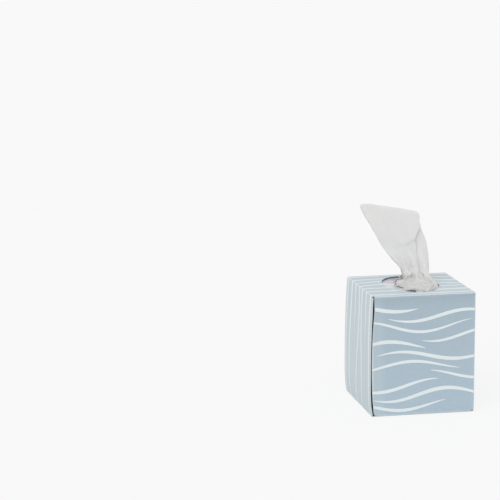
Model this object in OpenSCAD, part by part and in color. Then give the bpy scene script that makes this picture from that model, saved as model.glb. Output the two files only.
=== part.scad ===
// Cube tissue box: a folded and glued carton with an oval opening, a slit film under it,
// a bent clip of interfolded tissues inside and one tissue drawn up through the slit.
// Millimetres. Origin at the bottom centre, front towards -Y, left wall towards -X.

/* [Carton] */
// Width of the carton across its front
box_w = 110; // [95:1:130]
// Depth of the carton from front to back
box_d = 110; // [100:1:130]
// Height of the carton
box_h = 127; // [110:1:150]
// Thickness of the paperboard
board_t = 0.45; // [0.3:0.05:0.7]
// Outer radius of a crease
crease_r = 1.2; // [0.9:0.1:2]
// Outward bow of the left wall
left_bow = 2.3; // [0.5:0.1:4]
// Height at which the left wall bows out most
bow_height = 45; // [30:1:70]
// Height of the glued lap inside the right wall
seam_lap = 16; // [8:1:30]
// Gap between the right wall's lower edge and the ground
wall_foot_gap = 0.3; // [0.1:0.1:1]

/* [End flaps] */
// Gap from the left wall's face to the outer flap's left edge, where a dark slot shows
flap_side_gap = 1.7; // [1.5:0.1:3]
// How much more that gap opens beside the bowed wall, towards the flap's two ends
flap_taper = 1.6; // [0:0.1:2]
// Gap from the right wall's face to the outer flap's right edge
flap_right_gap = 0.5; // [0.4:0.1:2]
// Gap from the ground to the outer flap's free edge
flap_foot_gap = 0.7; // [0.3:0.1:2]
// Radius of the outer flap's two free corners
flap_corner_r = 5; // [1:0.5:8]
// Height of the inner flap, hinged at the bottom
inner_flap_h = 62; // [30:1:90]
// Gap from the side wall's face to the inner flap's side edge
inner_side_gap = 3; // [2.5:0.5:6]
// How far a dust flap reaches in from its side wall
dust_reach = 44; // [20:1:50]
// How much a dust flap narrows at its upper and lower corners
dust_slant = 10; // [2:1:16]
// Gap between a dust flap's ends and the bottom and top faces
dust_end_gap = 1.5; // [1.3:0.1:6]
// Inner radius of a left dust flap's crease, which stands forward beside the outer flap
nose_inner_r = 0.1; // [0.05:0.05:0.15]
// How far that crease stays behind the carton's front or back face
nose_setback = 0.15; // [0.1:0.05:0.5]
// How far a left dust flap bows in behind its crease
dust_bow = 2.2; // [1:0.1:2.4]

/* [Opening] */
// Gap from the oval opening's sides to the carton's side faces
opening_side = 26; // [22:1:28]
// Gap from the oval opening's ends to the carton's front and back faces
opening_end = 11; // [11:0.5:14]
// Thickness of the slit film
film_t = 0.1; // [0.08:0.01:0.2]
// How far the film's flat rim starts outside the opening's edge
film_rim_start = 5; // [3:0.5:6]
// How far the film reaches outside the opening's edge
film_reach = 8.5; // [7.5:0.5:8.5]
// How far the film dips below its rim at the slit
film_dip = 3; // [1:0.1:3.5]
// Gap from the slit's ends to the opening's ends
slit_end_gap = 5; // [4:0.5:6]
// Half of the slit's width, held open by the tissue
slit_half_w = 4.5; // [4:0.1:6]
// Gap from the slit's ends to the tissue gathered in it
slit_clear = 5; // [4.5:0.5:8]

/* [Glue] */
// Thickness of the glue between two lapped layers
glue_t = 0.15; // [0.1:0.05:0.3]
// Width of a glue bead
bead_w = 6; // [3:0.5:8]
// How far the glue under the top stays in from the film's rim
glue_margin = 0.75; // [0.3:0.05:1]

/* [Tissues] */
// Gap beside the tissue clip's cut faces, to the lap and to the left wall
clip_side_gap = 3.95; // [3.8:0.05:10]
// Width of the slot between the clip's two legs
clip_slot = 10; // [4:0.5:16]
// Free height between the clip's crown and the carton's top face
clip_headroom = 7.5; // [7.2:0.1:14]
// Clearance between the clip and what it lies against
clip_gap = 0.3; // [0.2:0.1:1]
// Depth of the lines between the sheets on the clip's cut faces
sheet_line_depth = 0.5; // [0.2:0.1:1]
// Number of lines between the sheets
sheet_lines = 9; // [3:1:14]
// Thickness of one tissue with its two plies
tissue_t = 0.3; // [0.2:0.02:0.36]
// Cut width of one tissue, which is drawn up in three layers
sheet_w = 200; // [190:1:206]
// Height of the drawn tissue's upper edge above the carton
tissue_rise = 83; // [60:1:110]
// How far the upper edge's middle leans to the left
tissue_lean = 22.6; // [10:0.2:30]
// How far the stem stands to the right of the slit
stem_shift = 6.8; // [0:0.2:10]
// Distance between two layers of the drawn tissue
layer_gap = 2.4; // [1.8:0.1:2.8]
// Height of the pleats at the slit
pleat_h = 5; // [2:0.2:6]

/* [Print] */
// Widest part of a wave stroke
stroke_w = 3.8; // [1.5:0.1:4.6]
// Height between two strokes on the end flaps
stroke_pitch = 10.4; // [8:0.2:16]
// Widest part of a band round the walls and the top
band_w = 6.6; // [3:0.2:8]
// Distance between two bands
band_pitch = 16; // [12:0.5:26]
// Thickness of the printed fields
print_t = 0.05; // [0.03:0.01:0.1]

/* [Hidden] */

// Clearance between the board and a printed field
print_gap = 0.03;
// Unprinted edge beside a stroke on an end flap, and beside the opening
stroke_inset = 0.5;
edge_gap = 0.4;
// Height from the ground to the first stroke
first_stroke_z = 11;
// Unprinted edge between the outermost bands and the walls' ends
band_margin = 1.2;
// Steps in a crease, along the bowed wall and round the oval
crease_steps = 5;
dust_steps = 4;
bow_steps = 10;
oval_steps = 88;

// One end flap lies this far behind the next
layer_step = board_t + glue_t;
// Where the side walls end, short of the carton's front and back faces
wall_half_d = box_d / 2 - 2 * layer_step - crease_r;
// Heights of the film's underside at its rim, and of the clip's crown
film_rim_z = box_h - board_t - glue_t;
crown_z = box_h - clip_headroom;
// Half depth of the clip, between the dust flaps
clip_half_d = box_d / 2 - 3 * board_t - 2 * glue_t - 2 * clip_gap;
// The opening, and the slit in the film under it
opening_w = box_w - 2 * opening_side;
opening_l = box_d - 2 * opening_end;
slit_half_l = opening_l / 2 - slit_end_gap;

function mix(a, b, t) = a + (b - a) * t;
function sgn_pow(v, e) = sign(v) * pow(abs(v), e);

// A value is blended through four rows, passing through the middle two
function through(a, b, c, d, t) =
    b + 0.5 * t * (c - a + t * (2 * a - 5 * b + 4 * c - d + t * (3 * (b - c) + d - a)));

// A solid swept through rings. Each ring is one side's points, then the other side's in reverse,
// anticlockwise when seen from the last ring
module strip_loft(rings, closed = false) {
    n = len(rings[0]);
    m = len(rings);
    sides = [
        for (i = [0:(closed ? m - 1 : m - 2)], j = [0:n - 1])
            let (a = i * n + j, b = i * n + (j + 1) % n,
                 c = ((i + 1) % m) * n + (j + 1) % n, d = ((i + 1) % m) * n + j)
            each [[a, c, b], [a, d, c]]
    ];
    ends = closed ? [] : [
        for (e = [0, m - 1], j = [0:n / 2 - 2])
            let (a = e * n + j, b = a + 1, c = e * n + n - 2 - j, d = c + 1)
            each (e == 0 ? [[a, b, c], [a, c, d]] : [[a, c, b], [a, d, c]])
    ];
    polyhedron(points = [for (r = rings) each r], faces = concat(sides, ends));
}

// Points of an oval, as half width and half length
function oval(a, b, n = oval_steps) = [for (k = [0:n - 1]) [a * cos(360 * k / n), b * sin(360 * k / n)]];

// Outward bow of the left wall at a height, and its slope. It falls off faster below its peak
bow_above = box_h - crease_r - bow_height;
bow_below = bow_height - crease_r;
function bow(z) = left_bow * (1 - (z > bow_height
    ? pow((z - bow_height) / bow_above, 2)
    : pow((bow_height - z) / bow_below, 4)));
function bow_slope(z) = left_bow * (z > bow_height
    ? -2 * (z - bow_height) / pow(bow_above, 2)
    : 4 * pow(bow_height - z, 3) / pow(bow_below, 4));

// Heights of the points along a side wall, with one at each corner of a dust flap
dust_full_z = dust_end_gap + dust_slant;
wall_heights = concat(
    [crease_r, dust_end_gap],
    [for (k = [0:bow_steps]) mix(dust_full_z, box_h - dust_full_z, k / bow_steps)],
    [box_h - dust_end_gap, box_h - crease_r]);
dust_heights = [for (k = [1:len(wall_heights) - 2]) wall_heights[k]];

// The folded strip that makes the tube, as [x, z, outward x, outward z] at each point:
// right wall, top, left wall, bottom and the lap inside the right wall
function crease(cx, cz, from) = [
    for (k = [0:crease_steps])
        let (a = from + 90 * k / crease_steps)
        [cx + crease_r * cos(a), cz + crease_r * sin(a), cos(a), sin(a)]
];
function left_point(z) =
    let (s = bow_slope(z), n = norm([1, s]))
    [-box_w / 2 - bow(z), z, -1 / n, -s / n];
lap_x = box_w / 2 - board_t - glue_t;
last_wall = len(wall_heights) - 1;
left_wall_points = [for (k = [last_wall - 1:-1:1]) left_point(wall_heights[k])];
top_right = crease(box_w / 2 - crease_r, box_h - crease_r, 0);
top_left = crease(-box_w / 2 + crease_r, box_h - crease_r, 90);
tube_path = concat(
    [[box_w / 2, wall_foot_gap, 1, 0]],
    top_right,
    top_left,
    left_wall_points,
    crease(-box_w / 2 + crease_r, crease_r, 180),
    crease(lap_x - crease_r, crease_r, 270),
    [[lap_x, seam_lap, 1, 0]]);
last_path = len(tube_path) - 1;

// The strip's section, one board thick
module tube_section() {
    outer = [for (p = tube_path) [p[0], p[1]]];
    inner = [for (k = [last_path:-1:0])
        let (p = tube_path[k]) [p[0] - board_t * p[2], p[1] - board_t * p[3]]];
    polygon(concat(outer, inner));
}

// A shape drawn in X and Z, made solid from y0 to y1
module slab(y0, y1) {
    translate([0, y1, 0])
        rotate([90, 0, 0])
            linear_extrude(height = y1 - y0)
                children();
}

// A shape drawn in Y and Z, made solid from x0 to x1
module cross_slab(x0, x1) {
    translate([x0, 0, 0])
        rotate([90, 0, 90])
            linear_extrude(height = x1 - x0)
                children();
}

// A dust flap in section, as [x, y, inward x, inward y] at each point: along X from the wall's
// outer face, and back from the flap's own outer face
function arc_points(centre, r, from, to) = [
    for (k = [0:dust_steps])
        let (a = mix(from, to, k / dust_steps), n = [cos(a), sin(a)])
        concat(centre + r * n, n)
];

// A left dust flap's crease is bent past a right angle and stands forward beside the outer flap.
// Behind it the flap bows in, which makes the slot deep and dark
nose_turn = 165;
dip_turn = 50;
dip_r = 0.6;
nose_r = nose_inner_r + board_t;
nose_centre = [nose_r, nose_r - 2 * layer_step + nose_setback];
nose_end = nose_centre - nose_r * [cos(nose_turn), sin(nose_turn)];
dip_run = (dust_bow - dip_r + dip_r * sin(nose_turn) - nose_end[1]) / -cos(nose_turn);
dip_centre = nose_end + [dip_run * sin(nose_turn) - dip_r * cos(nose_turn),
                         -dip_run * cos(nose_turn) - dip_r * sin(nose_turn)];
dip_end = dip_centre + dip_r * [cos(dip_turn), sin(dip_turn)];
function left_dust_path(reach) = concat(
    [[0, crease_r, 1, 0]],
    arc_points(nose_centre, -nose_r, 0, nose_turn),
    arc_points(dip_centre, dip_r, nose_turn, dip_turn),
    [[dip_end[0] + dip_end[1] * tan(dip_turn), 0, tan(45 - dip_turn / 2), 1], [reach, 0, 0, 1]]);
function right_dust_path(reach) = concat(
    arc_points([crease_r, crease_r], -crease_r, 0, 90),
    [[reach, 0, 0, 1]]);

// A flap's two sides as one ring, mirrored in X where side is -1, with the wall's face at wall_x
dust_y = box_d / 2 - 2 * layer_step;
function dust_ring(path, side, wall_x, z) =
    let (n = len(path) - 1)
    concat(
        [for (p = path) [wall_x + side * p[0], -dust_y + p[1], z]],
        [for (k = [n:-1:0])
            let (p = path[k])
            [wall_x + side * (p[0] + board_t * p[2]), -dust_y + p[1] + board_t * p[3], z]]);
function dust_reach_at(z) =
    dust_reach - dust_slant * max(0, 1 - min(z - dust_end_gap, box_h - dust_end_gap - z) / dust_slant);
module left_dust_flap() {
    strip_loft([
        for (z = dust_heights)
            dust_ring(left_dust_path(dust_reach_at(z)), 1, -box_w / 2 - bow(z), z)
    ]);
}
module right_dust_flap() {
    strip_loft([
        for (z = [box_h - dust_end_gap, box_h - dust_full_z, dust_full_z, dust_end_gap])
            dust_ring(right_dust_path(dust_reach_at(z)), -1, box_w / 2, z)
    ]);
}

// A panel, its crease and its flap in section, as Y and Z. The flap hangs at y from the panel's height
module flap_section(y, length) {
    centre = [y + crease_r, box_h - crease_r];
    angles = [for (k = [0:crease_steps]) 90 + 90 * k / crease_steps];
    outer = [for (a = angles) centre + crease_r * [cos(a), sin(a)]];
    inner = [for (k = [crease_steps:-1:0]) centre + (crease_r - board_t) * [cos(angles[k]), sin(angles[k])]];
    polygon(concat(
        [[-wall_half_d, box_h]], outer, [[y, box_h - length], [y + board_t, box_h - length]],
        inner, [[-wall_half_d, box_h - board_t]]));
}

// The outer flap's outline from the front. Its left edge follows the bowed wall, and its two free
// corners are round
flap_right = box_w / 2 - flap_right_gap;
function flap_left(z) =
    let (u = 2 * z / box_h - 1)
    box_w / 2 - flap_side_gap + bow(z) - flap_taper * u * u * (1 - pow(u, 8));
module outer_flap_outline() {
    r = flap_corner_r;
    low = flap_foot_gap + r;
    high = box_h - crease_r;
    left = [for (k = [0:bow_steps]) let (z = mix(high, low, k / bow_steps)) [-flap_left(z), z]];
    left_corner = [for (k = [1:crease_steps]) let (a = 180 + 90 * k / crease_steps)
        [-flap_left(low) + r + r * cos(a), low + r * sin(a)]];
    right_corner = [for (k = [0:crease_steps]) let (a = 270 + 90 * k / crease_steps)
        [flap_right - r + r * cos(a), low + r * sin(a)]];
    polygon(concat(
        [[flap_right, box_h + 1], [-flap_left(high), box_h + 1]],
        left, left_corner, right_corner));
}

// One end of the carton, drawn at the front
module end_flaps() {
    intersection() {
        cross_slab(-box_w / 2 - left_bow, flap_right)
            flap_section(-box_d / 2, box_h - flap_foot_gap);
        slab(-box_d / 2 - 1, -wall_half_d)
            outer_flap_outline();
    }
    inner_half = box_w / 2 - inner_side_gap;
    translate([0, 0, box_h])
        mirror([0, 0, 1])
            cross_slab(-inner_half, inner_half)
                flap_section(-box_d / 2 + layer_step, inner_flap_h);
    left_dust_flap();
    right_dust_flap();
}

module carton() {
    color([0.68, 0.75, 0.8])
        difference() {
            union() {
                slab(-wall_half_d, wall_half_d)
                    tube_section();
                end_flaps();
                mirror([0, 1, 0])
                    end_flaps();
            }
            translate([0, 0, box_h - 2 * board_t])
                linear_extrude(height = 3 * board_t)
                    polygon(oval(opening_w / 2, opening_l / 2));
        }
}

// Wave strokes. A stroke is [start, end, level, swing, wave length, phase, width] along a face
function stroke_mid(w, s) = w[2] + w[3] * sin(360 * s / w[4] + w[5]);
stroke_tip = 0.08;
function stroke_half(w, s) =
    stroke_tip + (w[6] / 2 - stroke_tip) * pow(max(0, sin(180 * (s - w[0]) / (w[1] - w[0]))), 0.7);

// Strokes on an end flap, seen from outside. They start at the left and right edges by turns
stroke_rows = floor((box_h - first_stroke_z) / stroke_pitch);
function end_stroke(k) =
    let (reach = box_w * (0.72 + 0.3 * sin(97 * k)),
         side = k % 2 == 0 ? 1 : -1,
         edge = -side * 0.72 * box_w,
         tip = edge + side * (reach + 0.22 * box_w))
    [min(edge, tip), max(edge, tip), first_stroke_z + k * stroke_pitch,
     5.4 + 0.8 * sin(61 * k), 1.11 * box_w, 37 * k - 20, stroke_w * (0.92 + 0.14 * sin(83 * k))];
module end_stroke_field(w) {
    from = max(w[0], stroke_inset - flap_left(stroke_mid(w, -box_w / 2)));
    to = min(w[1], flap_right - stroke_inset);
    s = [for (k = [0:26]) mix(from, to, k / 26)];
    low = [for (v = s) [v, stroke_mid(w, v) - stroke_half(w, v)]];
    high = [for (k = [26:-1:0]) [s[k], stroke_mid(w, s[k]) + stroke_half(w, s[k])]];
    polygon(concat(low, high));
}
module end_print() {
    slab(-box_d / 2 - print_gap - print_t, -box_d / 2 - print_gap)
        for (k = [0:stroke_rows - 1])
            end_stroke_field(end_stroke(k));
}

// Length along the strip from its first point to each point, and a place on the strip at a length
path_steps = [for (k = [1:last_path])
    norm([tube_path[k][0] - tube_path[k - 1][0], tube_path[k][1] - tube_path[k - 1][1]])];
path_lengths = [for (k = 0, s = 0; k <= last_path; s = k < last_path ? s + path_steps[k] : s, k = k + 1) s];
function on_strip(s, y, h) =
    let (at = [for (c = [0:3]) lookup(s, [for (k = [0:last_path]) [path_lengths[k], tube_path[k][c]]])])
    [at[0] + h * at[2], y, at[1] + h * at[3]];

// Bands that run up the right wall, over the top and down the left wall
first_left = len(top_right) + 1 + len(top_left);
last_left = first_left + len(left_wall_points);
wall_run = path_lengths[1];
top_run = [path_lengths[len(top_right)], path_lengths[len(top_right) + 1]];
band_places = concat(
    [for (k = [0:7]) mix(3, wall_run, k / 8)],
    [for (k = [1:len(top_right)]) path_lengths[k]],
    [for (k = [1:7]) mix(top_run[0], top_run[1], k / 8)],
    [for (k = [len(top_right) + 1:last_left]) path_lengths[k]]);
band_first = band_places[0];
band_last = band_places[len(band_places) - 1];
band_reach = wall_half_d - band_w / 2 - band_margin;
band_rows = floor(2 * band_reach / band_pitch) + 1;
band_wave = 150;
top_middle = (top_run[0] + top_run[1]) / 2;

// The waves spread away from the opening over the top, each by a little more or less
function band(k) =
    let (level = (k - (band_rows - 1) / 2) * band_pitch,
         cut = k % 3 == 1 ? 0.3 : 0,
         span = band_last - band_first,
         swing = 0.8 * band_margin + 3.4 * (1 - abs(level) / band_reach),
         phase = (level < 0 ? 270 : 90) - 360 * top_middle / band_wave + 35 * sin(80 * k))
    [band_first - (k % 3 == 2 ? 0 : 40), band_last + 40 - cut * span, level, swing, band_wave, phase,
     band_w * (0.85 + 0.15 * sin(110 * k))];
module band_field(rings) {
    strip_loft([
        for (r = rings)
            [on_strip(r[0], r[1], print_gap + print_t), on_strip(r[2], r[3], print_gap + print_t),
             on_strip(r[2], r[3], print_gap), on_strip(r[0], r[1], print_gap)]
    ]);
}

// Where a band meets the opening it ends along the oval's edge. A ring is [s, y, s, y] for its two sides
function oval_half_x(y) =
    (opening_w / 2 + edge_gap) * sqrt(max(0, 1 - pow(y / (opening_l / 2 + edge_gap), 2)));
function band_ring(w, s) =
    let (m = stroke_mid(w, s), h = stroke_half(w, s))
    [s, m - h, s, m + h];
function edge_ring(w, s, side) =
    let (m = stroke_mid(w, s), h = stroke_half(w, s))
    [top_middle + side * oval_half_x(m - h), m - h, top_middle + side * oval_half_x(m + h), m + h];
module band_print(w) {
    level = stroke_mid(w, top_middle);
    reach = oval_half_x(max(0, abs(level) - w[6] / 2));
    in_range = [for (s = band_places) if (s > w[0] && s < w[1]) s];
    if (reach == 0)
        band_field([for (s = in_range) band_ring(w, s)]);
    if (reach > 0)
        for (side = [-1, 1]) {
            part = [for (s = in_range) if (side * (s - top_middle) > reach + 1) band_ring(w, s)];
            edge = edge_ring(w, top_middle + side * reach, side);
            band_field(side < 0 ? concat(part, [edge]) : concat([edge], part));
        }
}

module wave_print() {
    color([0.87, 0.91, 0.92]) {
        end_print();
        mirror([0, 1, 0])
            end_print();
        for (k = [0:band_rows - 1])
            band_print(band(k));
    }
}

// The film: from the slit's lips, through its dip, to the flat rim glued under the top panel
film_turns = 40;
film_depths = [0, 0.4, 0.72, 0.9, 1];
function slit_edge(a) =
    let (straight = slit_half_l - slit_half_w)
    [slit_half_w * cos(a), straight * sgn_pow(sin(a), 0.8) + slit_half_w * sin(a)];
function film_rim(a) =
    [(opening_w / 2 + film_rim_start) * cos(a), (opening_l / 2 + film_rim_start) * sin(a)];
function film_edge(a) = [
    (opening_w / 2 + film_reach) * sgn_pow(cos(a), 0.5),
    (opening_l / 2 + film_reach) * sgn_pow(sin(a), 0.5)];
function film_side(a, z) = concat(
    [for (f = film_depths)
        let (p = mix(slit_edge(a), film_rim(a), f))
        [p[0], p[1], z - film_dip * pow(1 - f, 0.6)]],
    [[film_edge(a)[0], film_edge(a)[1], z]]);
module opening_film() {
    color([0.85, 0.87, 0.9, 0.6])
        strip_loft([
            for (k = [0:film_turns - 1])
                let (a = 360 * k / film_turns,
                     top = film_side(a, film_rim_z),
                     low = film_side(a, film_rim_z - film_t))
                concat(top, [for (j = [len(low) - 1:-1:0]) low[j]])
        ], closed = true);
}

module film_glue() {
    outer = film_reach - glue_margin;
    inner = film_rim_start + glue_margin;
    color([0.9, 0.87, 0.75])
        translate([0, 0, film_rim_z])
            linear_extrude(height = glue_t)
                difference() {
                    polygon(oval(opening_w / 2 + outer, opening_l / 2 + outer));
                    polygon(oval(opening_w / 2 + inner, opening_l / 2 + inner));
                }
}

module seam_glue() {
    color([0.9, 0.87, 0.75])
        translate([lap_x, -wall_half_d + bead_w, (seam_lap + crease_r - bead_w) / 2])
            cube([glue_t, 2 * (wall_half_d - bead_w), bead_w]);
}

// Beads between the outer and inner flaps, and between the inner and dust flaps
module end_beads() {
    bead_h = inner_flap_h - 4 * bead_w;
    outer_y = -box_d / 2 + board_t;
    for (side = [-1, 1]) {
        translate([side * (box_w / 2 - dust_reach) - bead_w / 2, outer_y, 2 * bead_w])
            cube([bead_w, glue_t, bead_h]);
        translate([side * (box_w / 2 - dust_reach / 2) - bead_w / 2, outer_y + layer_step, 2 * bead_w])
            cube([bead_w, glue_t, bead_h]);
    }
}
module flap_glue() {
    color([0.9, 0.87, 0.75]) {
        end_beads();
        mirror([0, 1, 0])
            end_beads();
    }
}

// The clip of interfolded tissues, bent into an arch over its two legs
clip_foot = board_t + clip_gap;
clip_half_w = lap_x - board_t - clip_side_gap;
arch_z = crown_z - clip_half_d;
module arch(r) {
    intersection() {
        translate([0, arch_z])
            circle(r = r, $fn = 96);
        translate([-r, arch_z])
            square([2 * r, r]);
    }
    translate([-r, clip_foot])
        square([2 * r, arch_z - clip_foot]);
}
module sheet_line(r) {
    difference() {
        arch(r + 0.2);
        arch(r - 0.2);
    }
}
module tissue_clip() {
    thick = clip_half_d - clip_slot / 2;
    color([0.93, 0.93, 0.92])
        difference() {
            cross_slab(-clip_half_w, clip_half_w)
                difference() {
                    arch(clip_half_d);
                    arch(clip_slot / 2);
                }
            for (x = [-clip_half_w - 1, clip_half_w - sheet_line_depth], k = [1:sheet_lines])
                cross_slab(x, x + sheet_line_depth + 1)
                    sheet_line(clip_slot / 2 + thick * k / (sheet_lines + 1));
        }
}

// The drawn tissue. Its sheet lies in three layers like a flattened S, with soft pleats across them.
// A row gives the layers' middle [x, y, z], then [turn, lie, half width, layer gap, pleat, tilt, notch]:
// turn is 90 along the slit and 0 across the front, lie is 90 flat on the clip and 0 upright,
// and notch is how far the front layer's fold stays in from the right edge
lips = film_rim_z - film_dip;
lying_gap = tissue_t + 0.4;
lying = crown_z + clip_gap + tissue_t / 2 + lying_gap + 0.4;
turn_r = lying_gap + tissue_t;
folded_back = lying + 2 * turn_r;
turn_x = clip_half_w - turn_r - clip_gap - tissue_t / 2;
full = sheet_w / 6;
gathered = slit_half_l - slit_clear;
function stand_x(share) = mix(stem_shift, -tissue_lean, share);
function stand_z(share) = box_h + share * tissue_rise;
tissue_rows = [
    [0.4 * clip_half_w, 0, folded_back, 90, 270, full, lying_gap, 0.1, 0, 0],
    [0.7 * clip_half_w, 0, folded_back, 90, 270, full, lying_gap, 0.1, 0, 0],
    [turn_x, 0, folded_back, 90, 270, full, lying_gap, 0.1, 0, 0],
    [turn_x + turn_r, 0, lying + turn_r, 90, 180, full, lying_gap - 0.2, 0.05, 0, 0],
    [turn_x, 0, lying, 90, 90, full, lying_gap, 0.1, 0, 0],
    [0.68 * clip_half_w, 0, lying, 90, 90, full, lying_gap, 0.1, 0, 0],
    [0.34 * clip_half_w, 0, lying, 90, 90, full, lying_gap, 0.1, 0, 0],
    [slit_half_w, 0, lying, 90, 88, full, lying_gap, 0.1, 0, 0],
    [0.4, 0, lips - 0.4, 90, 18, gathered, lying_gap + 0.1, 0.9, 0, 0],
    [0, 0, lips + 0.8, 90, 0, gathered, lying_gap + 0.3, 1.8, 0, 0],
    [1.5, -3, stand_z(0.012), 76, 0, 1.01 * gathered, 0.92 * layer_gap, 0.85 * pleat_h, 0, 1],
    [5, -5, stand_z(0.055), 52, 0, 0.84 * full, 1.12 * layer_gap, pleat_h, 0, 2],
    [stand_x(0), -4, stand_z(0.115), 26, 0, 0.585 * full, 1.08 * layer_gap, 0.8 * pleat_h, 0, 2],
    [stand_x(0.07), -1, stand_z(0.195), 8, 0, 0.465 * full, layer_gap, 0.5 * pleat_h, 0, 3],
    [stand_x(0.24), 0, stand_z(0.34), 0, 0, 0.61 * full, layer_gap, 0.26 * pleat_h, 0, 4],
    [stand_x(0.435), 0, stand_z(0.48), 0, 0, 0.72 * full, 0.96 * layer_gap, 0.14 * pleat_h, -0.02, 5],
    [stand_x(0.605), 0, stand_z(0.61), 0, 0, 0.79 * full, 0.92 * layer_gap, 0.08 * pleat_h, -0.06, 9],
    [stand_x(0.8), 0, stand_z(0.78), 0, 0, 0.85 * full, 0.84 * layer_gap, 0.06 * pleat_h, -0.12, 2],
    [stand_x(0.93), 0, stand_z(0.89), 0, 0, 0.9 * full, 0.8 * layer_gap, 0.05 * pleat_h, -0.16, 1],
    [stand_x(1), 0, stand_z(1), 0, 0, 0.97 * full, 0.76 * layer_gap, 0.04 * pleat_h, -0.195, 1]
];
row_steps = 2;
last_row = len(tissue_rows) - 1;
function row_at(v) =
    let (k = min(floor(v), last_row - 1), t = v - k)
    through(tissue_rows[max(k - 1, 0)], tissue_rows[k], tissue_rows[k + 1],
            tissue_rows[min(k + 2, last_row)], t);

// The S: three layers and the two turns between them, as [along, across] for a half width,
// a layer gap and a notch
layer_steps = 16;
turn_steps = 4;
function s_curve(half, gap, notch) =
    let (right = half - notch - gap / 2, left = -half + gap / 2)
    concat(
        [for (k = [0:layer_steps]) [mix(-half, right, k / layer_steps), -gap]],
        [for (k = [1:turn_steps - 1]) let (a = 180 * k / turn_steps - 90)
            [right + gap / 2 * cos(a), -gap / 2 + gap / 2 * sin(a)]],
        [for (k = [0:layer_steps]) [mix(right, left, k / layer_steps), 0]],
        [for (k = [1:turn_steps - 1]) let (a = 180 * k / turn_steps - 90)
            [left - gap / 2 * cos(a), gap / 2 + gap / 2 * sin(a)]],
        [for (k = [0:layer_steps]) [mix(left, half, k / layer_steps), gap]]);

// How far the clip's arch falls at a distance from its crown
function arch_fall(y) = clip_half_d - sqrt(max(1, pow(clip_half_d, 2) - y * y));
function pleat(q, v) = sin(540 * q + 16 * v) * (1 - 0.45 * q * q) + 0.3 * sin(230 * q + 40 * v);

function tissue_point(r, v, p) =
    let (q = p[0] / r[5],
         n = p[1] + r[7] * pleat(q, v),
         lean = [sin(r[3]) * cos(r[4]), cos(r[3]) * cos(r[4]), sin(r[4])],
         across = [cos(r[3]), -sin(r[3]), 0],
         at = [r[0], r[1], r[2]] + across * p[0] + lean * n,
         droop = abs(r[8]) * (6 * (p[1] / r[6] + 1) + 20 * pow(abs(q), 14)))
    [at[0], at[1], at[2] + r[8] * p[0] - droop - arch_fall(at[1]) * pow(sin(r[4]), 4)];
function unit(a) = a / max(norm(a), 1e-9);
tissue_grid = [
    for (i = [0:last_row * row_steps])
        let (v = i / row_steps, r = row_at(v))
        [for (p = s_curve(r[5], r[6], r[9])) tissue_point(r, v, p)]
];
function grid_normal(i, j) =
    let (m = len(tissue_grid) - 1, n = len(tissue_grid[0]) - 1)
    unit(cross(tissue_grid[i][min(j + 1, n)] - tissue_grid[i][max(j - 1, 0)],
               tissue_grid[min(i + 1, m)][j] - tissue_grid[max(i - 1, 0)][j]));
function tissue_side(i, off) = [
    for (j = [0:len(tissue_grid[0]) - 1]) tissue_grid[i][j] + off * grid_normal(i, j)
];
module drawn_tissue() {
    color([0.96, 0.96, 0.95])
        strip_loft([
            for (i = [0:len(tissue_grid) - 1])
                let (back = tissue_side(i, -tissue_t / 2))
                concat(tissue_side(i, tissue_t / 2), [for (j = [len(back) - 1:-1:0]) back[j]])
        ]);
}

carton();
wave_print();
opening_film();
film_glue();
seam_glue();
flap_glue();
tissue_clip();
drawn_tissue();
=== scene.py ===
"""Cube tissue box: the finish of the folded carton, its print, the slit film and the tissues.

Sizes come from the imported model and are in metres, apart from the drawn tissue's own, which are
in millimetres. The board, the print and the film's glue are copies of their nodes, cut into small
faces. The film, the clip of tissues and the drawn tissue are built here, where their nodes are.
One function softens all of them but the clip, so they still meet.
"""
import math

import bmesh
import bpy
import numpy as np
from mathutils import Matrix, Vector, noise
from mathutils.bvhtree import BVHTree


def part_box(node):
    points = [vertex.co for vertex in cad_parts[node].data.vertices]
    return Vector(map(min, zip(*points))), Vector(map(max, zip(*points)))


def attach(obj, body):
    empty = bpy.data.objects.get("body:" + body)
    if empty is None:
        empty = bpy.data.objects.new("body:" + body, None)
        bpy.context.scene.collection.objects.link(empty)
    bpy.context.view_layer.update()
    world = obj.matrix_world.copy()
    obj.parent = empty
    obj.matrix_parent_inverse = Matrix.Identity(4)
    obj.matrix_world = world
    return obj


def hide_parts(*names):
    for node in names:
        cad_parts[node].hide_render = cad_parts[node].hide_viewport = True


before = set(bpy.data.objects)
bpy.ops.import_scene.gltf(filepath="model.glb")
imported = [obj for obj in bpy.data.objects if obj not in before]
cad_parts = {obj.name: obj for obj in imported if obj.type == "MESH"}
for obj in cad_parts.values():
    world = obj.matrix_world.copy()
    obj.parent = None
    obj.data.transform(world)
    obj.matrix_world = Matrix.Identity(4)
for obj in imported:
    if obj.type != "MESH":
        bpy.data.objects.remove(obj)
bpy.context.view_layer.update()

MM = 0.001
scene = bpy.context.scene

# Sizes that the nodes give, and the board's thickness
carton_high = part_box("carton")[1]
film_low, film_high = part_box("opening_film")
clip_low, clip_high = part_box("tissue_clip")
HALF_W = carton_high.x
HALF_D = carton_high.y
BOX_H = carton_high.z
BOARD_T = 0.45 * MM


def ramp(value, low, high):
    """0 below low, 1 above high, and smooth between them."""
    t = np.clip((value - low) / (high - low), 0, 1)
    return t * t * (3 - 2 * t)


def hump(value, start, full, going, gone):
    """0 below start, 1 from full to going, 0 above gone, and smooth between them."""
    return ramp(value, start, full) * (1 - ramp(value, going, gone))


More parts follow.
